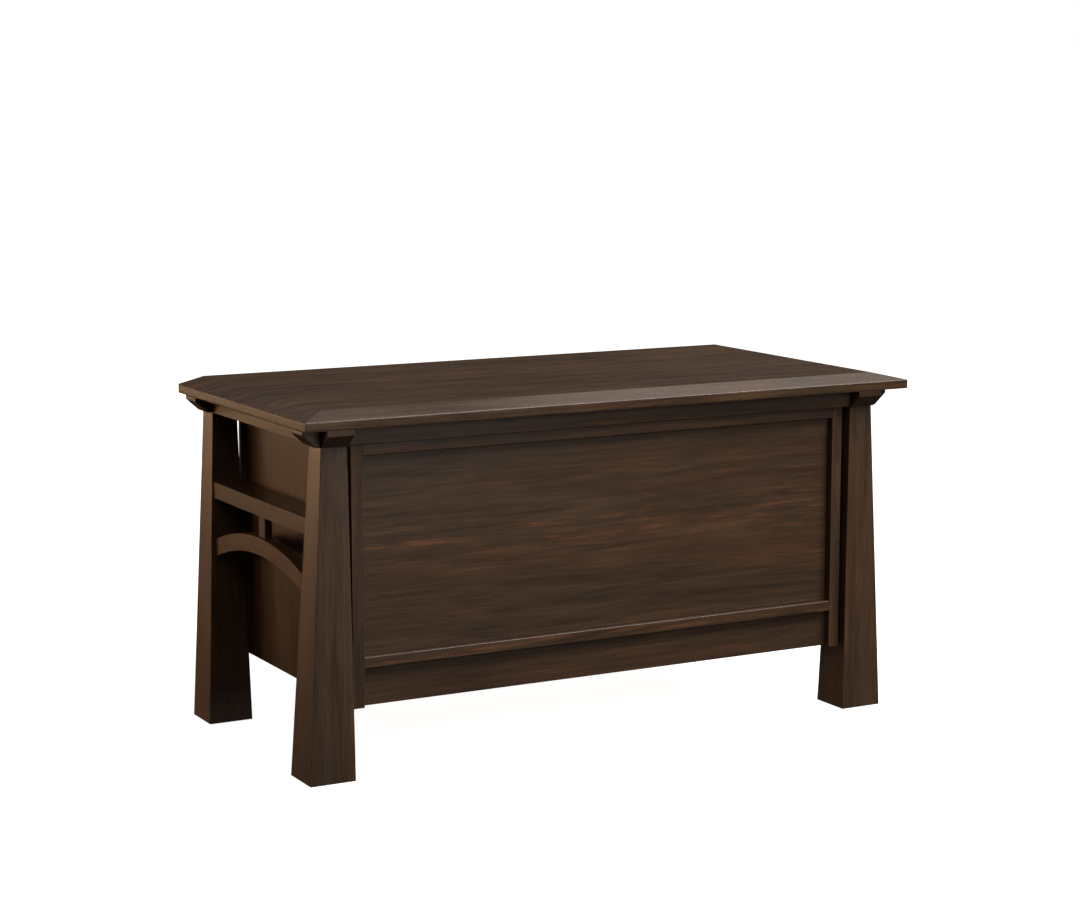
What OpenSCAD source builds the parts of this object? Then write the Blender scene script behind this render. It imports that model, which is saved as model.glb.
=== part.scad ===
// A blanket chest: a four-legged stand of lapped top rails carries a framed case, and a bevelled lid
// is hinged to the stand's back rail. The origin is under the middle of the lid, at floor level.
// +X is to the right, +Y to the back and +Z up. Millimetres.

/* [Lid] */
// Width of the lid, left to right
lid_w = 1219; // [1150:1:1300]
// Depth of the lid, front to back
lid_d = 590; // [585:1:596]
// Thickness of the lid at its flat middle
lid_t = 28; // [24:0.5:34]
// Height of the lid's upright edge, under the bevel
lid_edge = 16; // [12:0.5:20]
// Width of the bevel along the front and both ends
bevel_w = 50; // [30:1:70]
// How far the stand's middle lies to the left of the lid's middle
stand_left = 10; // [0:0.5:12]
// How far the stand's middle lies behind the lid's middle
stand_back = 5.5; // [4:0.5:8]

/* [Stand] */
// Height of the lid's underside above the floor
rail_top = 608; // [580:1:640]
// Height of the four top rails
rail_h = 31.5; // [28:0.5:34]
// Width of the top rails, and of the legs at their tops
rail_w = 48; // [44:0.5:52]
// Width of the stand across the leg tops
stand_w = 1118; // [1100:1:1120]
// Depth of the stand across the leg tops
stand_d = 541; // [535:1:545]
// Width of each leg at the floor
foot_w = 84.5; // [75:0.5:95]
// How far each foot stands out sideways past its leg top
splay_x = 29; // [10:1:40]
// How far each foot stands out to the front or back past its leg top
splay_y = 5; // [0:0.5:10]
// How far the front and back rails reach past the legs
reach_x = 33; // [28:1:34]
// How far the end rails reach past the front legs
reach_front = 29.5; // [28:0.5:30]
// Height of the upright face at a rail's end, above its chamfer
end_face = 10; // [6:0.5:14]
// Length of the chamfer under a rail's end
end_run = 24; // [16:0.5:26]

/* [Case] */
// Width of the case across its side boards
case_w = 1000; // [980:1:1004]
// Distance of the case's front edges from the stand's middle
case_front = 260.5; // [256:0.5:264]
// Height of the case's bottom edge above the floor
case_bottom = 121.5; // [110:0.5:140]
// Thickness of the side boards, the front panel and the skirt
board_t = 20.6; // [18:0.1:22]
// How far the front panel lies behind the case's front edges
panel_recess = 14.5; // [10:0.5:16]
// Height of the ledge rail's top
ledge_top = 209; // [200:1:220]
// Height of the ledge rail itself
ledge_h = 19; // [16:0.5:24]
// Height of the upper rail that shows over the front panel
upper_h = 20.5; // [16:0.5:26]
// Thickness of the back panel
back_t = 11.5; // [9:0.5:12]
// Width of the back panel's upper part, which stands a little clear of the legs
back_w = 1017; // [1010:1:1020]
// Height of the case's floor above the ground
floor_top = 200; // [195:0.5:206]
// Thickness of the bottom panel
bottom_t = 12; // [9:0.5:14]

/* [Ends] */
// Distance of the shelf's and arch's outer faces from the stand's middle
end_face_x = 562.5; // [560:0.5:563]
// Height of the end shelf's top
shelf_top = 449; // [440:1:460]
// Thickness of the end shelf
shelf_t = 29.5; // [26:0.5:32]
// Height of the top of the arch at its middle
arch_top = 380; // [370:1:390]
// Depth of the arched rail, measured along its radius
arch_h = 31; // [26:0.5:34]
// Radius of the arched rail's upper edge
arch_r = 618; // [600:1:660]
// Thickness of the arched rail
arch_t = 24; // [20:0.5:28]
// Width of the spindle between the shelf and the arch
spindle_w = 28; // [22:0.5:34]
// Thickness of the spindle
spindle_t = 14; // [12:0.5:16]
// How far the spindle lies behind the shelf's outer face
spindle_inset = 6; // [4:0.5:6]

/* [Hinges] */
// Length of each hinge
hinge_l = 76; // [70:1:80]
// Distance of the outer hinges from the middle one
hinge_pitch = 400; // [350:5:420]
// Radius of a hinge's barrel
barrel_r = 4; // [3.8:0.1:4.1]
// Radius of a hinge pin
pin_r = 2; // [1.8:0.1:2.2]
// Radial clearance of a pin in its barrel
pin_play = 0.05; // [0.03:0.01:0.08]
// Thickness of a hinge leaf
leaf_t = 2; // [1.8:0.1:2.2]

/* [Hidden] */
$fn = 48;
half_w = stand_w / 2;
half_d = stand_d / 2;
rail_z = rail_top - rail_h;            // underside of the top rails
lap_z = rail_top - rail_h / 2;         // where the crossing rails lap
leg_x = half_w - rail_w;               // inner side faces of the leg tops
leg_y = half_d - rail_w;               // inner front or back faces of the leg tops
leg_mid_x = half_w - rail_w / 2;
leg_mid_y = half_d - rail_w / 2;
tenon = 26;                            // square tenon on each leg top
tenon_gap = 0.5;                       // space over a tenon's end

board_x = case_w / 2;                  // outer faces of the side boards
inner_x = board_x - board_t;           // inner faces of the side boards
panel_y = -case_front + panel_recess;  // front face of the front panel and skirt
front_in = panel_y + board_t;          // inner face of the case's front
back_y = leg_y - back_t;               // front face of the back panel
upper_z = rail_z - upper_h;            // underside of the upper rail
board_top = rail_top - 1;              // the case stops just under the lid
tongue = 6;                            // depth of the tongues and grooves
tongue_t = 8;                          // thickness of the tongues
edge_play = 0.6;                       // gap between the back panel and the legs
cleat = 20;                            // section of the square cleats
cleat_z = floor_top - bottom_t - cleat;

shelf_tenon = [24, 12, 18];            // width, thickness and length
arch_tenon = [11, 20, 16];             // thickness, height and length
spindle_tenon = [8, 14, 10];           // thickness, width and length
arch_c = arch_top - arch_r;            // height of the arch's centre

batten = [45, 370, 20];                // width, length and thickness
batten_pitch = 330;
batten_y = -5;                         // middle of the battens, from the stand's middle

hinge_xs = [-hinge_pitch, 0, hinge_pitch];
axis_y = half_d + barrel_r + 0.5;      // hinge axis, from the stand's middle
knuckles = 5;
knuckle_gap = 0.25;
leaf_d = 26;                           // depth of a leaf, up to its barrel
relief_r = barrel_r + 0.6;             // groove in the lid that clears the barrels
relief_end = 1;                        // groove past each end of a barrel

screw_r = 2;                           // shank radius
screw_head_r = 3.8;
screw_head_h = 1.8;
hole_play = 0.05;
screw_sink = 0.2;                      // heads lie this far under the surface

board_screw_ys = [-170, -55, 55, 170]; // screws through the side boards
shelf_screw_ys = [-140, 0, 140];
side_screw_zs = [160, 290, 420, 550];  // back panel to the side boards
back_screw_xs = [-440, -264, -88, 88, 264, 440];
cleat_screw_xs = [-390, -130, 130, 390];
cleat_screw_ys = [-150, 0, 150];

stained = [0.29, 0.19, 0.13];
stained_dark = [0.24, 0.16, 0.11];
inside_wood = [0.62, 0.47, 0.32];
metal = [0.42, 0.36, 0.28];

// ---- shared shapes ----

// Moves what is drawn about the stand's middle to where the stand is.
module on_stand() {
    translate([-stand_left, stand_back, 0]) children();
}

// A box between two corners.
module block(low, high) {
    translate(low) cube(high - low);
}

// Extrudes a shape drawn in X and Z along Y, from y0 to y1.
module along_y(y0, y1) {
    translate([0, y1, 0]) rotate([90, 0, 0]) linear_extrude(y1 - y0) children();
}

// Extrudes a shape drawn in Y and Z along X, from x0 to x1.
module along_x(x0, x1) {
    translate([x0, 0, 0]) rotate([90, 0, 90]) linear_extrude(x1 - x0) children();
}

// Draws a right-hand part, or its mirror image on the left.
module on_side(side) {
    if (side < 0) mirror([1, 0, 0]) children();
    else children();
}

// Distance of a leg's inner front or back face from the stand's middle, at height z.
function leg_face_y(z) = leg_y + (half_d + splay_y - foot_w - leg_y) * (1 - z / rail_z);

// Distance of a leg's inner side face from the stand's middle, at height z.
function leg_face_x(z) = leg_x + (half_w + splay_x - foot_w - leg_x) * (1 - z / rail_z);

// A countersunk screw with its head at the origin, pointing down.
module screw(length, play = 0) {
    translate([0, 0, -length]) cylinder(h = length - screw_sink, r = screw_r + play);
    translate([0, 0, -screw_sink - screw_head_h])
        cylinder(h = screw_head_h, r1 = screw_r + play, r2 = screw_head_r + play);
    if (play > 0) translate([0, 0, -screw_sink]) cylinder(h = 2 * screw_sink, r = screw_head_r + play);
}

// ---- stand ----

// The tapered leg of the back right corner, without its mortises.
module leg_blank() {
    intersection() {
        along_y(0, half_d + splay_y)
            polygon([[leg_face_x(0), 0], [half_w + splay_x, 0], [half_w, rail_z], [leg_x, rail_z]]);
        along_x(0, half_w + splay_x)
            polygon([[leg_face_y(0), 0], [half_d + splay_y, 0], [half_d, rail_z], [leg_y, rail_z]]);
    }
    leg_tenon();
}

module leg_tenon() {
    translate([leg_mid_x - tenon / 2, leg_mid_y - tenon / 2, rail_z])
        cube([tenon, tenon, rail_h - tenon_gap]);
}

module leg(side, end) {
    color(stained) on_stand() on_side(side) mirror([0, end < 0 ? 1 : 0, 0])
        difference() {
            leg_blank();
            shelf_tenons();
            arch_tenons();
        }
}

// The end of a top rail, drawn with its tip at x = 0 and the rail towards -x.
module rail_tip() {
    polygon([[0, rail_top], [0, rail_top - end_face], [-end_run, rail_z], [-rail_w, rail_z],
        [-rail_w, rail_top]]);
}

// The mortises for the leg tenons, through every rail.
module leg_mortises() {
    for (x = [-leg_mid_x, leg_mid_x], y = [-leg_mid_y, leg_mid_y])
        translate([x - tenon / 2, y - tenon / 2, rail_z - 1]) cube([tenon, tenon, rail_h + 2]);
}

// A front-to-back pair of laps, one at each end of the long rails: the lower half or the upper half.
module lap_halves(z0, z1) {
    for (x = [-leg_mid_x, leg_mid_x], y = [-leg_mid_y, leg_mid_y])
        translate([x - rail_w / 2, y - rail_w / 2, z0]) cube([rail_w, rail_w, z1 - z0]);
}

module long_rail(end) {
    y0 = end < 0 ? -half_d : leg_y;
    tip = half_w + reach_x;
    difference() {
        union() {
            block([-tip + end_run, y0, rail_z], [tip - end_run, y0 + rail_w, rail_top]);
            for (side = [-1, 1]) on_side(side) translate([tip, 0, 0])
                along_y(y0, y0 + rail_w) rail_tip();
        }
        lap_halves(rail_z - 1, lap_z);
        leg_mortises();
    }
}

module front_top_rail() {
    color(stained) on_stand() long_rail(-1);
}

module back_top_rail() {
    color(stained) on_stand() difference() {
        long_rail(1);
        leaf_beds(rail_top - leaf_t);
        hinge_screw_set(rail_top, 0, hole_play);
        back_screw_set(hole_play);
    }
}

module end_rail(side) {
    tip = half_d + reach_front;
    color(stained) on_stand() on_side(side) difference() {
        union() {
            block([leg_x, -tip + end_run, rail_z], [half_w, half_d, rail_top]);
            translate([0, -tip, 0]) along_x(leg_x, half_w) mirror([1, 0, 0]) rail_tip();
        }
        lap_halves(lap_z, rail_top + 1);
        leg_mortises();
        board_screw_set(hole_play);
    }
}

// ---- ends ----

// The space between the front and back legs, seen from the end.
module leg_gap() {
    polygon([[-leg_face_y(0), 0], [leg_face_y(0), 0], [leg_y, rail_z], [-leg_y, rail_z]]);
}

module shelf_tenons() {
    reach = leg_face_y(shelf_top) + shelf_tenon[2];
    x0 = (end_face_x + leg_x) / 2 - shelf_tenon[0] / 2;
    z0 = shelf_top - shelf_t / 2 - shelf_tenon[1] / 2;
    translate([x0, -reach, z0]) cube([shelf_tenon[0], 2 * reach, shelf_tenon[1]]);
}

module shelf(side) {
    color(stained) on_stand() on_side(side) difference() {
        union() {
            along_x(board_x, end_face_x) intersection() {
                leg_gap();
                translate([-half_d, shelf_top - shelf_t]) square([2 * half_d, shelf_t]);
            }
            shelf_tenons();
        }
        spindle_tenons();
        shelf_screw_set(hole_play);
        // a notch round the back panel's edge
        block([board_x - 1, back_y, shelf_top - shelf_t - 1], [leg_x, half_d, shelf_top + 1]);
    }
}

// The arched band, drawn from the end.
module arch_band() {
    intersection() {
        leg_gap();
        translate([0, arch_c]) difference() {
            circle(r = arch_r, $fn = 360);
            circle(r = arch_r - arch_h, $fn = 360);
        }
        translate([-half_d, 0]) square([2 * half_d, rail_z]);
    }
}

module arch_tenons() {
    x0 = end_face_x - arch_t / 2 - arch_tenon[0] / 2;
    z_end = arch_c + sqrt(pow(arch_r - arch_h / 2, 2) - pow(leg_y - arch_tenon[2], 2));
    inset = 12;
    for (end = [-1, 1]) mirror([0, end < 0 ? 1 : 0, 0])
        translate([x0, leg_face_y(z_end) - inset, z_end - arch_tenon[1] / 2])
            cube([arch_tenon[0], inset + arch_tenon[2], arch_tenon[1]]);
}

module arch_rail(side) {
    color(stained) on_stand() on_side(side) difference() {
        union() {
            along_x(end_face_x - arch_t, end_face_x) arch_band();
            arch_tenons();
        }
        spindle_tenons();
    }
}

// One tenon up into the shelf and one down into the arch.
module spindle_tenons() {
    x0 = end_face_x - spindle_inset - spindle_t / 2 - spindle_tenon[0] / 2;
    block([x0, -spindle_tenon[1] / 2, arch_top - spindle_tenon[2]],
        [x0 + spindle_tenon[0], spindle_tenon[1] / 2, shelf_top - shelf_t + spindle_tenon[2]]);
}

module spindle(side) {
    outer = end_face_x - spindle_inset;
    color(stained) on_stand() on_side(side) union() {
        along_x(outer - spindle_t, outer) difference() {
            translate([-spindle_w / 2, arch_top - 2]) square([spindle_w, shelf_top - shelf_t - arch_top + 2]);
            translate([0, arch_c]) circle(r = arch_r, $fn = 360);
        }
        spindle_tenons();
    }
}

// ---- case ----

// The tongue all round the front panel, or with a longer reach the grooves for it.
module panel_tongue() {
    y0 = panel_y + (board_t - tongue_t) / 2;
    block([-inner_x - tongue, y0, ledge_top - tongue], [inner_x + tongue, y0 + tongue_t, upper_z + tongue]);
}

// Stub tenons on the ends of a front rail of the case.
module rail_stubs(z0, z1) {
    y0 = panel_y + (board_t - tongue_t) / 2;
    quarter = (z1 - z0) / 4;
    block([-inner_x - tongue, y0, z0 + quarter], [inner_x + tongue, y0 + tongue_t, z1 - quarter]);
}

module side_board(side) {
    color(stained_dark) on_stand() on_side(side) difference() {
        along_x(inner_x, board_x)
            polygon([[-case_front, case_bottom], [back_y, case_bottom], [back_y, board_top],
                [-leg_y, board_top], [-leg_y, rail_z], [-case_front, rail_z]]);
        panel_tongue();
        rail_stubs(upper_z + tongue, rail_z);
        rail_stubs(ledge_top - ledge_h, ledge_top - tongue);
        rail_stubs(case_bottom, ledge_top - ledge_h);
        board_screw_set(hole_play);
        shelf_screw_set(hole_play);
        side_screw_set(hole_play);
        side_cleat_screw_set(hole_play);
    }
}

// The strip that packs out the gap between a side board and its end rail.
module spacer(side) {
    color(stained_dark) on_stand() on_side(side) difference() {
        block([board_x, -leg_y, rail_z], [leg_x, back_y, board_top]);
        board_screw_set(hole_play);
    }
}

module front_upper_rail() {
    color(stained) on_stand() difference() {
        union() {
            block([-inner_x, -case_front, upper_z], [inner_x, front_in, rail_z]);
            rail_stubs(upper_z + tongue, rail_z);
        }
        panel_tongue();
    }
}

module front_panel() {
    color(stained_dark) on_stand() union() {
        block([-inner_x, panel_y, ledge_top], [inner_x, front_in, upper_z]);
        panel_tongue();
    }
}

module front_ledge_rail() {
    color(stained) on_stand() difference() {
        union() {
            block([-inner_x, -case_front, ledge_top - ledge_h], [inner_x, front_in, ledge_top]);
            rail_stubs(ledge_top - ledge_h, ledge_top - tongue);
        }
        panel_tongue();
    }
}

module front_skirt() {
    color(stained) on_stand() difference() {
        union() {
            block([-inner_x, panel_y, case_bottom], [inner_x, front_in, ledge_top - ledge_h]);
            rail_stubs(case_bottom, ledge_top - ledge_h);
        }
        front_cleat_screw_set(hole_play);
    }
}

// The back panel's upper part has upright edges. Lower down they slope in along the legs.
module back_panel() {
    low = leg_face_x(case_bottom) - edge_play;
    high = leg_x - edge_play;
    color(stained_dark) on_stand() difference() {
        along_y(back_y, leg_y) intersection() {
            polygon([[-low, case_bottom], [low, case_bottom], [high, rail_z], [high, board_top],
                [-high, board_top], [-high, rail_z]]);
            translate([-back_w / 2, case_bottom]) square([back_w, board_top - case_bottom]);
        }
        back_screw_set(hole_play);
        for (side = [-1, 1]) on_side(side) side_screw_set(hole_play);
        back_cleat_screw_set(hole_play);
    }
}

module bottom_panel() {
    color(inside_wood) on_stand()
        block([-inner_x, front_in, floor_top - bottom_t], [inner_x, back_y, floor_top]);
}

module side_cleat(side) {
    color(inside_wood) on_stand() on_side(side) difference() {
        block([inner_x - cleat, front_in, cleat_z], [inner_x, back_y, cleat_z + cleat]);
        side_cleat_screw_set(hole_play);
    }
}

module bottom_cleat_front() {
    color(inside_wood) on_stand() difference() {
        block([-inner_x + cleat, front_in, cleat_z], [inner_x - cleat, front_in + cleat, cleat_z + cleat]);
        front_cleat_screw_set(hole_play);
    }
}

module bottom_cleat_back() {
    color(inside_wood) on_stand() difference() {
        block([-inner_x + cleat, back_y - cleat, cleat_z], [inner_x - cleat, back_y, cleat_z + cleat]);
        back_cleat_screw_set(hole_play);
    }
}

// ---- lid ----

module lid_panel() {
    half = lid_w / 2;
    deep = lid_d / 2;
    edge = rail_top + lid_edge;
    top = rail_top + lid_t;
    color(stained) difference() {
        intersection() {
            along_y(-deep, deep)
                polygon([[-half, rail_top], [half, rail_top], [half, edge], [half - bevel_w, top],
                    [-half + bevel_w, top], [-half, edge]]);
            along_x(-half, half)
                polygon([[-deep, rail_top], [deep, rail_top], [deep, top], [-deep + bevel_w, top],
                    [-deep, edge]]);
        }
        on_stand() {
            leaf_beds(rail_top);
            barrel_reliefs();
            hinge_screw_set(rail_top, 1, hole_play);
            batten_screw_set(hole_play);
        }
    }
}

module lid_batten(place) {
    x0 = place * batten_pitch;
    color(stained_dark) on_stand() difference() {
        translate([x0 - batten[0] / 2, batten_y - batten[1] / 2, rail_top - batten[2]]) cube(batten);
        batten_screw_set(hole_play);
    }
}

// ---- hinges ----

// The beds that take the leaves, in the back rail's top or the lid's underside.
module leaf_beds(z0) {
    for (x = hinge_xs) translate([x - hinge_l / 2, half_d - leaf_d, z0])
        cube([hinge_l, leaf_d + 1, leaf_t]);
}

// The groove under the lid that clears the barrels.
module barrel_reliefs() {
    for (x = hinge_xs) translate([x - hinge_l / 2 - relief_end, axis_y, rail_top])
        rotate([0, 90, 0]) cylinder(h = hinge_l + 2 * relief_end, r = relief_r);
}

// One leaf with its own knuckles: first is 0 for the leaf with the end knuckles and 1 for the other.
module leaf(x, z0, first) {
    step = hinge_l / knuckles;
    neck_end = barrel_r + 0.7;
    translate([x, 0, 0]) difference() {
        union() {
            translate([-hinge_l / 2, half_d - leaf_d, z0]) cube([hinge_l, leaf_d + 0.5 - 0.7, leaf_t]);
            for (k = [first : 2 : knuckles - 1]) {
                translate([-hinge_l / 2 + k * step + knuckle_gap, axis_y - neck_end, z0])
                    cube([step - 2 * knuckle_gap, neck_end, leaf_t]);
                translate([-hinge_l / 2 + k * step + knuckle_gap, axis_y, rail_top])
                    rotate([0, 90, 0]) cylinder(h = step - 2 * knuckle_gap, r = barrel_r);
            }
        }
        translate([-hinge_l / 2 - 1, axis_y, rail_top])
            rotate([0, 90, 0]) cylinder(h = hinge_l + 2, r = pin_r + pin_play);
    }
}

module case_leaf(place) {
    color(metal) on_stand() difference() {
        leaf(hinge_xs[place], rail_top - leaf_t, 0);
        hinge_screw_set(rail_top, 0, hole_play);
    }
}

module lid_leaf(place) {
    color(metal) on_stand() difference() {
        leaf(hinge_xs[place], rail_top, 1);
        hinge_screw_set(rail_top, 1, hole_play);
    }
}

module hinge_pin(place) {
    color(metal) on_stand() translate([hinge_xs[place] - hinge_l / 2, axis_y, rail_top])
        rotate([0, 90, 0]) cylinder(h = hinge_l, r = pin_r);
}

// ---- screws ----

// Three screws through each leaf, down into the rail (up = 0) or up into the lid (up = 1).
module hinge_screw_set(z, up, play = 0) {
    for (x = hinge_xs, i = [-1, 0, 1])
        translate([x + i * hinge_l / 3, half_d - leaf_d / 2 - (i == 0 ? -4 : 4), z])
            rotate([up * 180, 0, 0]) screw(20, play);
}

// Up through the battens into the lid.
module batten_screw_set(play = 0) {
    for (p = [-1, 0, 1], y = [-150, -50, 50, 150])
        translate([p * batten_pitch, batten_y + y, rail_top - batten[2]])
            rotate([180, 0, 0]) screw(36, play);
}

// Out through a side board and its spacer into the end rail.
module board_screw_set(play = 0) {
    z = (rail_z + rail_top) / 2;
    for (y = board_screw_ys) translate([inner_x, y, z]) rotate([0, -90, 0]) screw(50, play);
}

// Out through a side board into the end shelf.
module shelf_screw_set(play = 0) {
    z = shelf_top - shelf_t / 2;
    for (y = shelf_screw_ys) translate([inner_x, y, z]) rotate([0, -90, 0]) screw(45, play);
}

// Through the back panel into the back rail.
module back_screw_set(play = 0) {
    z = (rail_z + rail_top) / 2;
    for (x = back_screw_xs) translate([x, back_y, z]) rotate([90, 0, 0]) screw(32, play);
}

// Through the back panel into a side board's back edge.
module side_screw_set(play = 0) {
    for (z = side_screw_zs) translate([board_x - board_t / 2, leg_y, z])
        rotate([-90, 0, 0]) screw(36, play);
}

module side_cleat_screw_set(play = 0) {
    for (y = cleat_screw_ys) translate([inner_x - cleat, y, cleat_z + cleat / 2])
        rotate([0, -90, 0]) screw(34, play);
}

module front_cleat_screw_set(play = 0) {
    for (x = cleat_screw_xs) translate([x, front_in + cleat, cleat_z + cleat / 2])
        rotate([-90, 0, 0]) screw(34, play);
}

module back_cleat_screw_set(play = 0) {
    for (x = cleat_screw_xs) translate([x, back_y - cleat, cleat_z + cleat / 2])
        rotate([90, 0, 0]) screw(28, play);
}

module hinge_case_screws() {
    color(metal) on_stand() hinge_screw_set(rail_top, 0);
}

module hinge_lid_screws() {
    color(metal) on_stand() hinge_screw_set(rail_top, 1);
}

module lid_batten_screws() {
    color(metal) on_stand() batten_screw_set();
}

module case_screws() {
    color(metal) on_stand() for (side = [-1, 1]) on_side(side) {
        board_screw_set();
        shelf_screw_set();
    }
}

module back_panel_screws() {
    color(metal) on_stand() {
        back_screw_set();
        for (side = [-1, 1]) on_side(side) side_screw_set();
    }
}

module cleat_screws() {
    color(metal) on_stand() {
        for (side = [-1, 1]) on_side(side) side_cleat_screw_set();
        front_cleat_screw_set();
        back_cleat_screw_set();
    }
}

leg(-1, -1);  // leg_front_left
leg(1, -1);  // leg_front_right
leg(-1, 1);  // leg_back_left
leg(1, 1);  // leg_back_right
front_top_rail();
back_top_rail();
end_rail(-1);  // left_top_rail
end_rail(1);  // right_top_rail
shelf(-1);  // left_shelf
shelf(1);  // right_shelf
spindle(-1);  // left_spindle
spindle(1);  // right_spindle
arch_rail(-1);  // left_arch_rail
arch_rail(1);  // right_arch_rail
side_board(-1);  // left_side_board
side_board(1);  // right_side_board
spacer(-1);  // left_spacer
spacer(1);  // right_spacer
front_upper_rail();
front_panel();
front_ledge_rail();
front_skirt();
back_panel();
bottom_panel();
side_cleat(-1);  // bottom_cleat_left
side_cleat(1);  // bottom_cleat_right
bottom_cleat_front();
bottom_cleat_back();
lid_panel();
lid_batten(-1);  // lid_batten_left
lid_batten(0);  // lid_batten_centre
lid_batten(1);  // lid_batten_right
case_leaf(0);  // hinge_left_case_leaf
lid_leaf(0);  // hinge_left_lid_leaf
hinge_pin(0);  // hinge_left_pin
case_leaf(1);  // hinge_centre_case_leaf
lid_leaf(1);  // hinge_centre_lid_leaf
hinge_pin(1);  // hinge_centre_pin
case_leaf(2);  // hinge_right_case_leaf
lid_leaf(2);  // hinge_right_lid_leaf
hinge_pin(2);  // hinge_right_pin
hinge_case_screws();
hinge_lid_screws();
lid_batten_screws();
case_screws();
back_panel_screws();
cleat_screws();
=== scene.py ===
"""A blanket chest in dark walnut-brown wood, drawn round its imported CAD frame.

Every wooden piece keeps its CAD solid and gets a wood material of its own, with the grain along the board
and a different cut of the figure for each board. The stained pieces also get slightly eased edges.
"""
import math
from functools import cached_property

import bpy
from mathutils import Euler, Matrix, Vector


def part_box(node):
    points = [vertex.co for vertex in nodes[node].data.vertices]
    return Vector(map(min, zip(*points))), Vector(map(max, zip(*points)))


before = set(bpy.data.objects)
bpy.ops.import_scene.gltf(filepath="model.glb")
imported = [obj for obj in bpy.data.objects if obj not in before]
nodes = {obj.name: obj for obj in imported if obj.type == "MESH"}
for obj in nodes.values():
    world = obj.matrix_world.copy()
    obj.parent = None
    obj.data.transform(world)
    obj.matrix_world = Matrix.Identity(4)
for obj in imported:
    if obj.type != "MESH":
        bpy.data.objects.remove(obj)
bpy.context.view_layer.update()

# ---- colours, in linear light ----

# Each wood from its darkest grain to its lightest, with the shade of the figure at which each colour lies.
STAIN = (
    (0.12, (0.0225, 0.0120, 0.0071)),
    (0.32, (0.0355, 0.0185, 0.0099)),
    (0.50, (0.0472, 0.0242, 0.0124)),
    (0.68, (0.0605, 0.0304, 0.0147)),
    (0.88, (0.0840, 0.0400, 0.0176)),
)
BARE = (
    (0.14, (0.290, 0.180, 0.095)),
    (0.50, (0.420, 0.285, 0.160)),
    (0.86, (0.540, 0.390, 0.235)),
)
PORE = (0.0165, 0.0090, 0.0056)     # stain caught in the open grain
SMUDGE = (0.0205, 0.0118, 0.0078)   # darker, feathery patches of curled grain
RED = (0.1750, 0.0660, 0.0210)      # short reddish streaks of hard grain
WORN_AND_HIGHLIGHT = (0.1300, 0.0850, 0.0560)     # arrises lightened, partly by wear and partly as a painted highlight
OLIVE = (0.96, 1.04, 1.04)          # the two ways that the stain's hue drifts
RUDDY = (1.03, 0.98, 0.94)
END_GRAIN = (0.66, 0.64, 0.66)      # what the end grain leaves of the colour
BRASS, DULL_BRASS = (0.23, 0.15, 0.068), (0.085, 0.056, 0.032)
STEEL, DULL_STEEL = (0.22, 0.19, 0.16), (0.09, 0.075, 0.06)
WHITE = (1.0, 1.0, 1.0)

# ---- shader nodes ----

MIX_A, MIX_B, MIX_RESULT = 6, 7, 2      # a Mix node's sockets for colours


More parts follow.
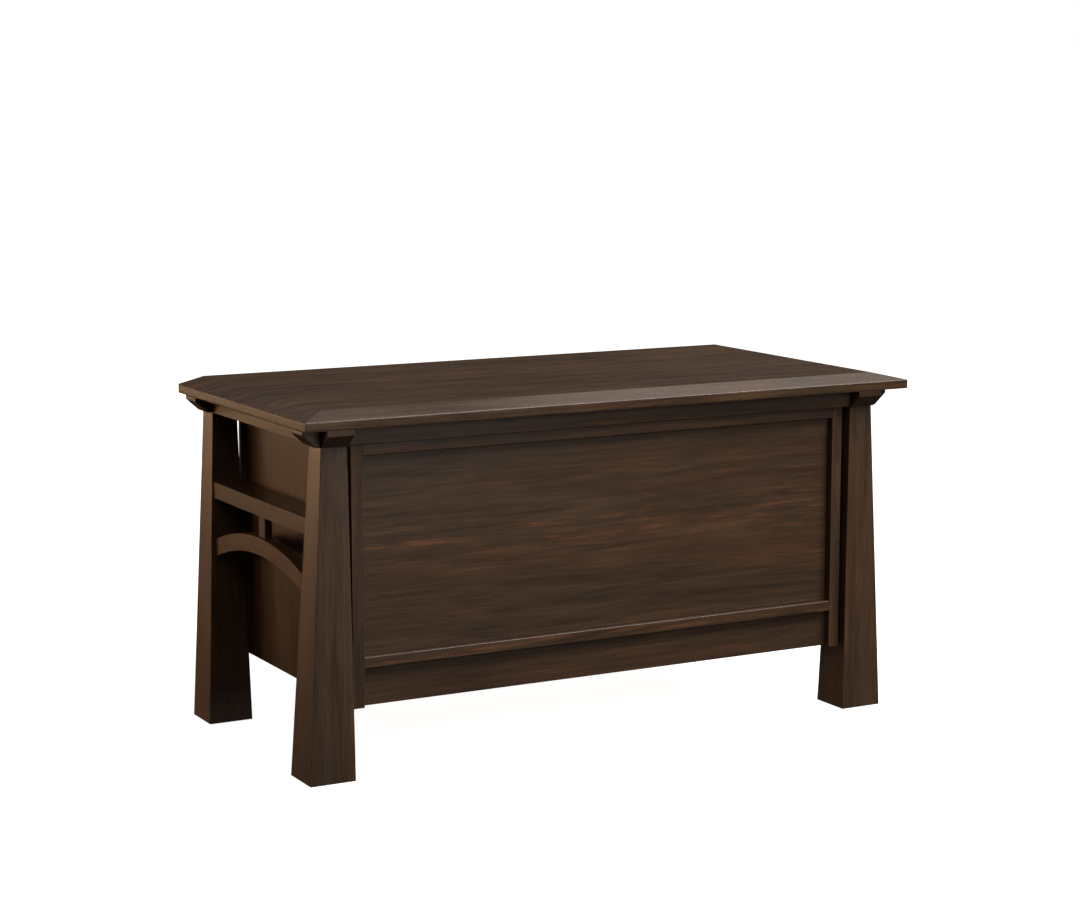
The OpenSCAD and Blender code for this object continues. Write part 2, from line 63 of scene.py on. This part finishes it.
class Nodes:
    """Adds and links shader nodes in one material."""

    def __init__(self, material):
        self.tree = material.node_tree
        self.surface = self.tree.nodes["Principled BSDF"]

    def add(self, kind, **settings):
        node = self.tree.nodes.new(kind)
        for key, value in settings.items():
            setattr(node, key, value)
        return node

    def link(self, out, socket):
        self.tree.links.new(out, socket)

    def feed(self, socket, value):
        """Sets a socket to a number, or links it to another socket."""
        if isinstance(value, bpy.types.NodeSocket):
            self.link(value, socket)
        else:
            socket.default_value = value

    def math(self, operation, a, b=0.0):
        node = self.add("ShaderNodeMath", operation=operation)
        self.feed(node.inputs[0], a)
        self.feed(node.inputs[1], b)
        return node.outputs[0]

    def plus(self, a, b):
        return self.math("ADD", a, b)

    def minus(self, a, b):
        return self.math("SUBTRACT", a, b)

    def times(self, a, b):
        return self.math("MULTIPLY", a, b)

    def noise(self, vector, scale, detail=3.0, roughness=0.55, distortion=0.0):
        node = self.add("ShaderNodeTexNoise")
        self.feed(node.inputs["Vector"], vector)
        node.inputs["Scale"].default_value = scale
        node.inputs["Detail"].default_value = detail
        node.inputs["Roughness"].default_value = roughness
        node.inputs["Distortion"].default_value = distortion
        return node.outputs["Fac"]

    def grain_noise(self, point, along, across, **settings):
        """A noise with about so many features in a metre along X, and so many across it."""
        stretched = self.add("ShaderNodeVectorMath", operation="MULTIPLY")
        self.link(point, stretched.inputs[0])
        stretched.inputs[1].default_value = (along, across, across)
        return self.noise(stretched.outputs[0], 1.0, **settings)

    def spread(self, value, low, high, out_low=0.0, out_high=1.0):
        """Stretches the part of value between low and high, smoothly."""
        node = self.add("ShaderNodeMapRange", interpolation_type="SMOOTHSTEP")
        self.feed(node.inputs["Value"], value)
        limits = {"From Min": low, "From Max": high, "To Min": out_low, "To Max": out_high}
        for name, number in limits.items():
            node.inputs[name].default_value = number
        return node.outputs["Result"]

    def mix(self, factor, a, b, blend="MIX"):
        node = self.add("ShaderNodeMix", data_type="RGBA", blend_type=blend)
        self.feed(node.inputs["Factor"], factor)
        for socket, value in ((node.inputs[MIX_A], a), (node.inputs[MIX_B], b)):
            self.feed(socket, value if isinstance(value, bpy.types.NodeSocket) else (*value, 1.0))
        return node.outputs[MIX_RESULT]

    def component(self, vector, axis):
        """A vector's length along X, Y or Z."""
        node = self.add("ShaderNodeSeparateXYZ")
        self.link(vector, node.inputs[0])
        return node.outputs[axis]

    def ramp(self, shade, steps, tone_and_painted_light):
        """The colour that a wood's steps give to a shade, lighter or darker by a factor: the board's own
        depth of colour, which on three boards is painted light or shade.
        """
        node = self.add("ShaderNodeValToRGB")
        node.color_ramp.interpolation = "B_SPLINE"
        elements = node.color_ramp.elements
        elements.remove(elements[1])
        for i, (where, colour) in enumerate(steps):
            step = elements[0] if i == 0 else elements.new(where)
            step.position = where
            step.color = (*[c * tone_and_painted_light for c in colour], 1.0)
        self.link(shade, node.inputs["Fac"])
        return node.outputs["Color"]

    def bump(self, relief, strength, deepest, normal=None):
        """Gives the surface a relief, deepest in metres, on the shading's own normal or on another."""
        node = self.add("ShaderNodeBump")
        node.inputs["Strength"].default_value = strength
        node.inputs["Distance"].default_value = deepest
        self.link(relief, node.inputs["Height"])
        if normal is not None:
            self.link(normal, node.inputs["Normal"])
        self.link(node.outputs[0], self.surface.inputs["Normal"])


def new_material(name):
    """A material with a shader of its own."""
    material = bpy.data.materials.new(name)
    material.use_nodes = True
    return material


# ---- wood ----

GRAIN_ORDER = {"X": "XYZ", "Y": "YXZ", "Z": "ZXY"}
LOG_STEP = (1.37, 0.731, 0.419)     # metres in the log from one seed's cut to the next
WANDER = 0.035                      # metres that the fibres stray from the board's length
ARRIS_REACH = 0.004                 # metres from an arris that the shading rounds
HEART_HALF = (0.065, 0.010)         # metres from the heart's middle where its streaks start and are full
HEART_RAGGED = 0.12                 # metres that the heart's edge strays by
NOISE_MEAN = 0.5

# how much of the colour a layer takes where it is full
RED_STRENGTH = 0.58
SMUDGE_STRENGTH = 0.75
PORE_STRENGTH = 0.50

# the part of a noise over which a layer comes in
PORES_COME = (0.62, 0.74)
HUE_TURNS = (0.38, 0.62)
FLAMES_COME = (0.50, 0.70)
HEART_FLAMES_COME = (0.50, 0.74)
GROUPS_COME = (0.50, 0.66)
CURLS_COME = (0.52, 0.68)
PATCHES_COME = (0.53, 0.66)
# the patches where the arrises are lightened, partly by wear and partly as a painted highlight
RUBBED_AND_HIGHLIT_COMES = (0.35, 0.62)
END_GRAIN_COMES = (0.6, 0.9)        # of how squarely the surface cuts the grain
ARRIS_COMES = (0.98, 0.78)          # of how alike the rounded and the flat surface face

SHEEN = (0.30, 0.38)                # roughness between the streaks and on them
FIBRE_ROUGH = 0.08
ARRIS_POLISH = 0.12                 # how much smoother an arris is
POLISH = 0.10                       # how much smoother a polished board is


class Wood(Nodes):
    """The layers of one board's material. grain is the axis that its fibres run along."""

    def __init__(self, material, grain, seed, polished):
        super().__init__(material)
        self.grain = grain
        self.polished = polished
        self.place = self.add("ShaderNodeTexCoord")
        self.straight = self.point_in_log(seed)
        self.bent = self.along_fibres()

        # the figure's noises, from broad bands down to single fibres
        self.bands = self.grain_noise(self.bent, 1.1, 11.0, detail=5.0, roughness=0.62)
        self.clouds = self.grain_noise(self.straight, 5.0, 17.0, detail=2.0, roughness=0.50)
        self.streaks = self.grain_noise(self.bent, 3.6, 62.0, detail=4.0, roughness=0.60)
        self.threads = self.grain_noise(self.bent, 9.0, 240.0, detail=2.0, roughness=0.60)
        self.fibres = self.grain_noise(self.bent, 15.0, 620.0, detail=2.0, roughness=0.60)
        pores = self.grain_noise(self.bent, 38.0, 460.0, detail=2.0, roughness=0.50)
        self.open_grain = self.spread(pores, *PORES_COME)

    def point_in_log(self, seed):
        """A point with X along the grain, at a place of the board's own in the log."""
        split = self.add("ShaderNodeSeparateXYZ")
        self.link(self.place.outputs["Object"], split.inputs[0])
        turned = self.add("ShaderNodeCombineXYZ")
        for axis, socket in zip(GRAIN_ORDER[self.grain], turned.inputs):
            self.link(split.outputs[axis], socket)
        cut = self.add("ShaderNodeVectorMath", operation="ADD")
        self.link(turned.outputs[0], cut.inputs[0])
        cut.inputs[1].default_value = [seed * step for step in LOG_STEP]
        return cut.outputs[0]

    def along_fibres(self):
        """The same point, moved as the fibres wander a little from the board's length."""
        wander = self.grain_noise(self.straight, 1.3, 3.0, detail=1.0)
        bent = self.add("ShaderNodeVectorMath", operation="MULTIPLY_ADD")
        self.link(wander, bent.inputs[0])
        bent.inputs[1].default_value = (0.0, WANDER, WANDER)
        self.link(self.straight, bent.inputs[2])
        return bent.outputs[0]

    @cached_property
    def end(self):
        """Where the surface is end grain."""
        facing = self.component(self.place.outputs["Normal"], self.grain)
        return self.spread(self.math("ABSOLUTE", facing), *END_GRAIN_COMES)

    @cached_property
    def rounded(self):
        """The way that the surface would face with its arrises rounded."""
        bevel = self.add("ShaderNodeBevel", samples=12 if self.polished else 4)
        bevel.inputs["Radius"].default_value = ARRIS_REACH
        return bevel.outputs["Normal"]

    @cached_property
    def arris(self):
        """Where the surface is an arris, so that the rounded surface turns away from the flat one."""
        flat = self.add("ShaderNodeNewGeometry")
        alike = self.add("ShaderNodeVectorMath", operation="DOT_PRODUCT")
        self.link(self.rounded, alike.inputs[0])
        self.link(flat.outputs["Normal"], alike.inputs[1])
        return self.spread(alike.outputs["Value"], *ARRIS_COMES)

    def figured(self, steps, tone_and_painted_light, figure):
        """The plain wood. figure is how strongly its bands and streaks show."""
        shares = (
            (self.bands, 0.85 * figure),
            (self.streaks, 0.75 * figure),
            (self.threads, 0.70 * figure),
            (self.clouds, 0.30 * figure),
            (self.fibres, 0.50),
        )
        shade = NOISE_MEAN
        for part, share in shares:
            shade = self.plus(shade, self.times(self.minus(part, NOISE_MEAN), share))
        return self.ramp(shade, steps, tone_and_painted_light)

    def drifted(self, colour):
        """The stain's hue drifts between olive and ruddy."""
        hue = self.grain_noise(self.bent, 2.2, 24.0)
        olive = self.mix(1.0, colour, OLIVE, "MULTIPLY")
        ruddy = self.mix(1.0, colour, RUDDY, "MULTIPLY")
        return self.mix(self.spread(hue, *HUE_TURNS), olive, ruddy)

    def reddened(self, colour, heart):
        """Reddish streaks, in a band at the height of the board's heart or else in loose groups."""
        flame = self.grain_noise(self.bent, 7.0, 125.0, detail=4.0, roughness=0.65)
        if heart is None:
            groups = self.grain_noise(self.bent, 0.9, 8.5, detail=1.0)
            flames = self.spread(flame, *FLAMES_COME)
            band = self.spread(groups, *GROUPS_COME, 0.0, 0.65)
        else:
            height = self.component(self.place.outputs["Object"], "Z")
            away = self.math("ABSOLUTE", self.minus(height, heart))
            ragged = self.plus(away, self.times(self.minus(self.bands, NOISE_MEAN), HEART_RAGGED))
            flames = self.spread(flame, *HEART_FLAMES_COME)
            band = self.spread(ragged, *HEART_HALF)
        return self.mix(self.times(self.times(flames, band), RED_STRENGTH), colour, RED)

    def smudged(self, colour):
        """Feathery dark patches, where the grain curls."""
        curl = self.grain_noise(self.bent, 7.0, 62.0, detail=5.0, roughness=0.70, distortion=0.5)
        patch = self.grain_noise(self.straight, 1.7, 9.0, detail=1.0)
        smudge = self.times(self.spread(curl, *CURLS_COME), self.spread(patch, *PATCHES_COME))
        return self.mix(self.times(smudge, SMUDGE_STRENGTH), colour, SMUDGE)

    def weathered_and_highlit(self, colour, rubbed_and_highlit):
        """Stain in the pores and the end grain, and arrises lightened partly by wear, partly as a painted
        highlight.
        """
        colour = self.mix(self.times(self.open_grain, PORE_STRENGTH), colour, PORE)
        colour = self.mix(self.end, colour, self.mix(1.0, colour, END_GRAIN, "MULTIPLY"))
        # painted highlight: the arrises take a lighter colour in patches, partly wear and partly a painted
        # highlight
        patchy = self.spread(self.noise(self.straight, 30.0), *RUBBED_AND_HIGHLIT_COMES, 0.4, 1.0)
        return self.mix(self.times(self.times(self.arris, patchy), rubbed_and_highlit), colour, WORN_AND_HIGHLIGHT)

    def finish(self, colour, stained):
        """Joins the colour, the sheen and the relief to the surface."""
        self.link(colour, self.surface.inputs["Base Color"])
        rough = self.spread(self.streaks, 0.25, 0.75, *SHEEN)
        rough = self.plus(rough, self.times(self.fibres, FIBRE_ROUGH))
        if stained:
            rough = self.minus(rough, self.times(self.arris, ARRIS_POLISH))
        if self.polished:
            rough = self.minus(rough, self.times(self.minus(1.0, self.end), POLISH))
        self.link(rough, self.surface.inputs["Roughness"])
        self.surface.inputs["Specular IOR Level"].default_value = 0.32
        self.surface.inputs["Coat Weight"].default_value = 0.14
        self.surface.inputs["Coat Roughness"].default_value = 0.28
        relief = self.minus(self.times(self.fibres, 0.5), self.times(self.open_grain, 0.8))
        relief = self.plus(relief, self.times(self.streaks, 0.7))
        self.bump(relief, 0.30, 0.0003, self.rounded if self.polished else None)


def wood(name, grain, seed, steps=STAIN, tone_and_painted_light=1.0, figure=1.0, heart=None, rubbed_and_highlit=0.5, polished=False):
    """A board's material. seed picks the cut of the log.

    heart is the height of the band that holds the reddish streaks, where they don't lie all over it.
    rubbed is how far the arrises are lightened, partly by wear and partly as a painted highlight. A
    polished board is smoother, and its arrises are rounded in the shading too, because its screw bores
    leave ease_edges little room.
    """
    material = new_material(name)
    board = Wood(material, grain, seed, polished)
    colour = board.figured(steps, tone_and_painted_light, figure)
    stained = steps is STAIN
    if stained:
        colour = board.reddened(board.drifted(colour), heart)
        colour = board.weathered_and_highlit(board.smudged(colour), rubbed_and_highlit)
    board.finish(colour, stained)
    return material


# Each stained board: the axis of its grain, its seed, and how much lighter or darker it is: its own tone,
# and on the left shelf, arch rail and side board painted light or shade.
BOARDS = {
    "leg_front_left": ("Z", 1, 1.00),
    "leg_front_right": ("Z", 2, 0.93),
    "leg_back_left": ("Z", 3, 1.05),
    "leg_back_right": ("Z", 4, 0.95),
    "front_top_rail": ("X", 5, 1.00),
    "back_top_rail": ("X", 6, 1.00),
    "left_top_rail": ("Y", 7, 1.00),
    "right_top_rail": ("Y", 8, 1.00),
    # painted light: lighter than its twin, as the light from the left falls on it
    "left_shelf": ("Y", 9, 1.12),
    "right_shelf": ("Y", 10, 1.00),
    "left_spindle": ("Z", 11, 1.00),
    "right_spindle": ("Z", 12, 1.00),
    # painted light: much lighter than its twin, as the light from the left falls on it
    "left_arch_rail": ("Y", 13, 1.38),
    "right_arch_rail": ("Y", 14, 1.00),
    # painted shade: darker than its twin, as it sits back in the shade of the legs and the lid
    "left_side_board": ("Z", 15, 0.78),
    "right_side_board": ("Z", 16, 1.00),
    "left_spacer": ("Y", 17, 1.00),
    "right_spacer": ("Y", 18, 1.00),
    "front_upper_rail": ("X", 19, 1.00),
    "front_panel": ("X", 46, 1.00),
    "front_ledge_rail": ("X", 21, 1.00),
    "front_skirt": ("X", 22, 1.00),
    "back_panel": ("X", 23, 0.95),
    "lid_panel": ("X", 24, 1.00),
    "lid_batten_left": ("Y", 25, 1.00),
    "lid_batten_centre": ("Y", 26, 1.00),
    "lid_batten_right": ("Y", 27, 1.00),
}
# Each board that is left bare: the axis of its grain and its seed.
INSIDE = {
    "bottom_panel": ("X", 31),
    "bottom_cleat_left": ("Y", 32),
    "bottom_cleat_right": ("Y", 33),
    "bottom_cleat_front": ("X", 34),
    "bottom_cleat_back": ("X", 35),
}
# What sets two of the stained boards apart.
panel_low, panel_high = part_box("front_panel")
SPECIAL = {
    "front_panel": {"heart": (panel_low[2] + panel_high[2]) / 2},
    # painted highlight: the lid's arrises are lightened almost fully, mostly as a painted highlight along
    # its front arris
    "lid_panel": {"figure": 1.5, "rubbed_and_highlit": 0.95, "polished": True},
}

EASED = 0.0014          # metres of rounding on an arris, less where a small hole leaves no room
EASED_LID = 0.0022
ARRIS = 20              # degrees between two faces from which their edge is an arris
ARRIS_LID = 8           # the lid's bevel meets its top at only 13 degrees
JOINED = 0.00002        # metres within which two corners are one
COPLANAR = 0.4          # degrees within which two faces are one


def dress(node, material):
    """Gives a CAD node its material."""
    mesh = nodes[node].data
    mesh.materials.clear()
    mesh.materials.append(material)


def ease_edges(node, width=EASED, sharpness=ARRIS):
    """Rounds a CAD node's arrises slightly, with modifiers only."""
    piece = nodes[node]
    weld = piece.modifiers.new("joined corners", "WELD")
    weld.merge_threshold = JOINED
    flat = piece.modifiers.new("whole faces", "DECIMATE")
    flat.decimate_type = "DISSOLVE"
    flat.angle_limit = math.radians(COPLANAR)
    ease = piece.modifiers.new("eased arrises", "BEVEL")
    ease.width = width
    ease.segments = 2
    ease.limit_method = "ANGLE"
    ease.angle_limit = math.radians(sharpness)
    ease.use_clamp_overlap = True
    shade = piece.modifiers.new("flat faces stay flat", "WEIGHTED_NORMAL")
    shade.keep_sharp = False


for board, (grain, seed, tone_and_painted_light) in BOARDS.items():
    dress(board, wood("wood_" + board, grain, seed, tone_and_painted_light=tone_and_painted_light, **SPECIAL.get(board, {})))
    if board == "lid_panel":
        ease_edges(board, EASED_LID, ARRIS_LID)
    else:
        ease_edges(board)
for board, (grain, seed) in INSIDE.items():
    dress(board, wood("bare_" + board, grain, seed, BARE))

# ---- metal ----


def metal(name, colour, dull):
    """Darkened metal with fine scratches and a patina."""
    material = new_material(name)
    n = Nodes(material)
    place = n.add("ShaderNodeTexCoord").outputs["Object"]
    patina = n.noise(place, 90.0, 5.0)
    scratches = n.grain_noise(place, 60.0, 2500.0, detail=2.0)
    n.link(n.mix(n.spread(patina, 0.40, 0.68), colour, dull), n.surface.inputs["Base Color"])
    n.link(n.spread(scratches, 0.3, 0.7, 0.28, 0.48), n.surface.inputs["Roughness"])
    n.surface.inputs["Metallic"].default_value = 1.0
    n.bump(scratches, 0.25, 0.00008)
    return material


brass = metal("darkened_brass", BRASS, DULL_BRASS)
bronzed = metal("bronzed_steel", STEEL, DULL_STEEL)
for node in nodes:
    if "screws" in node:
        dress(node, bronzed)
    elif node.startswith("hinge_"):
        dress(node, brass)

# ---- floor and backdrop ----

FLOOR_REACH = 40.0                  # metres from the chest to the floor's edge
FLOOR_DROP = 0.0005                 # metres between the feet and the floor
NEAR_GLOW, FAR_GLOW = 0.94, 1.0     # a lit-through floor, which keeps only a faint shadow under the chest
GLOW_RISES = (1.0, 3.0)             # metres from the chest where the glow starts to rise and is full
ROOM_LIGHT = (0.042, 0.037, 0.033)  # the dim room round the chest


def pale_floor():
    """A wide white floor that gives the chest no light, so that the undersides stay dark."""
    white = new_material("pale_floor")
    n = Nodes(white)
    n.surface.inputs["Base Color"].default_value = (0.5, 0.5, 0.5, 1.0)
    n.surface.inputs["Roughness"].default_value = 1.0
    n.surface.inputs["Specular IOR Level"].default_value = 0.0
    n.surface.inputs["Emission Color"].default_value = (*WHITE, 1.0)
    away = n.add("ShaderNodeVectorMath", operation="LENGTH")
    n.link(n.add("ShaderNodeTexCoord").outputs["Object"], away.inputs[0])
    glow = n.spread(away.outputs["Value"], *GLOW_RISES, NEAR_GLOW, FAR_GLOW)
    n.link(glow, n.surface.inputs["Emission Strength"])
    bpy.ops.mesh.primitive_plane_add(size=2 * FLOOR_REACH, location=(0, 0, -FLOOR_DROP))
    floor = bpy.context.object
    floor.name = "studio_floor"
    floor.data.materials.append(white)
    floor.visible_diffuse = False
    floor.visible_glossy = False
    floor.visible_shadow = False


def backdrop():
    """White for the camera, and a dim room for the light that the softboxes don't give."""
    world = bpy.data.worlds.new("studio")
    bpy.context.scene.world = world
    world.use_nodes = True
    tree = world.node_tree
    room = tree.nodes["Background"]
    room.inputs["Strength"].default_value = 1.0
    seen = tree.nodes.new("ShaderNodeLightPath")
    shade = tree.nodes.new("ShaderNodeMix")
    shade.data_type = "RGBA"
    shade.inputs[MIX_A].default_value = (*ROOM_LIGHT, 1.0)
    shade.inputs[MIX_B].default_value = (*WHITE, 1.0)
    tree.links.new(seen.outputs["Is Camera Ray"], shade.inputs["Factor"])
    tree.links.new(shade.outputs[MIX_RESULT], room.inputs["Color"])


pale_floor()
backdrop()

# ---- lights ----

LIGHT_AIM = Vector((0.0, 0.0, 0.4))     # a point inside the chest that every light faces
LIGHT_DISTANCE = 5.0                    # metres from that point
SOFT_WARM = (1.0, 0.84, 0.68)
WARM = (1.0, 0.66, 0.40)
AMBER = (1.0, 0.60, 0.33)


def softbox(name, round_to, above, watts, colour=WHITE, width=2.6, height=2.0):
    """A rectangular light, round_to degrees from the front to the right and above degrees high."""
    turn, rise = math.radians(round_to), math.radians(above)
    level = math.cos(rise)
    towards = Vector((math.sin(turn) * level, -math.cos(turn) * level, math.sin(rise)))
    lamp = bpy.data.lights.new(name, "AREA")
    lamp.shape = "RECTANGLE"
    lamp.size, lamp.size_y = width, height
    lamp.energy = watts
    lamp.color = colour
    holder = bpy.data.objects.new(name, lamp)
    bpy.context.scene.collection.objects.link(holder)
    holder.location = LIGHT_AIM + LIGHT_DISTANCE * towards
    holder.rotation_euler = (-towards).to_track_quat("-Z", "Y").to_euler()
    holder.visible_camera = False


softbox("key_front_right", 42, 44, 245)
softbox("top_front_right", 45, 65, 88)
softbox("fill_front", 8, 15, 74)
softbox("high_front_left", 315, 40, 34, SOFT_WARM)
softbox("high_right", 90, 40, 78, (1.0, 0.98, 0.95))
softbox("low_back_left", 234, 4, 108, AMBER, width=3.8, height=1.6)
softbox("top_back_right", 135, 65, 8)
softbox("high_back_right", 130, 38, 13, (1.0, 0.93, 0.86))
softbox("high_back", 172, 38, 5)
softbox("low_back", 180, -2, 50, WARM, height=0.5)      # below the lid, which would mirror it

# ---- camera ----

CAMERA_AT = (-2.1997, -4.0208, 1.1964)
CAMERA_YAW = 28.56      # degrees to the right of straight ahead
CAMERA_DIP = 8.69       # degrees below the horizon
camera = bpy.data.objects.new("camera", bpy.data.cameras.new("camera"))
bpy.context.scene.collection.objects.link(camera)
camera.location = CAMERA_AT
camera.rotation_euler = Euler((math.radians(90 - CAMERA_DIP), 0, math.radians(-CAMERA_YAW)))
camera.data.sensor_width = 36.0
camera.data.lens = 83.0
bpy.context.scene.camera = camera
bpy.context.scene.view_settings.view_transform = "Standard"
